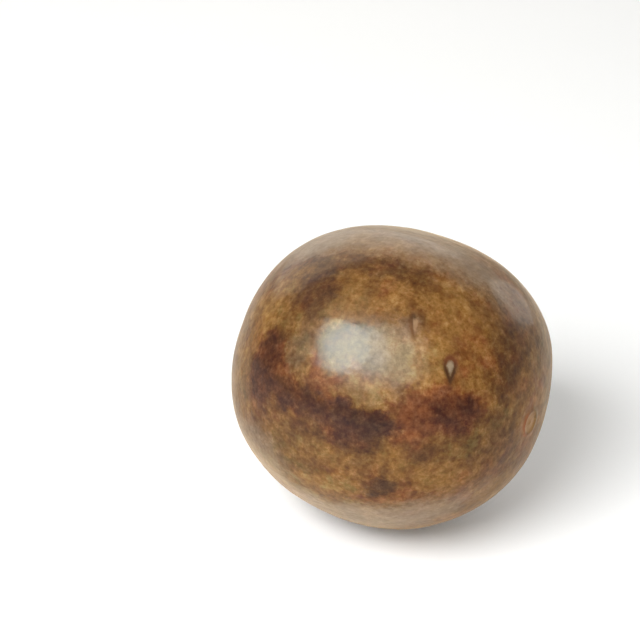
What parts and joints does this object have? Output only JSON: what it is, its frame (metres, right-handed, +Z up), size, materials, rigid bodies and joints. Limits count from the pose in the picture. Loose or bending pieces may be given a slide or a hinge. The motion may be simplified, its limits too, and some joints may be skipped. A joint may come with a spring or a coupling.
{
  "type": "dried monk fruit",
  "caption": "Whole round dried monk fruit lying on its side, with a ring-shaped style scar at one end and a stem scar at the other.",
  "frame": {"origin": "middle of the fruit's box on the surface that it rests on", "axes": "+X along the fruit from its stem end to its style end, +Z up"},
  "size_m": [0.0596, 0.0576, 0.0576],
  "materials": {
    "dried_rind": "satin, brown mottled thin woody rind"
  },
  "bodies": {
    "root": {"monk_fruit": "dried_rind"}
  },
  "joints": []
}
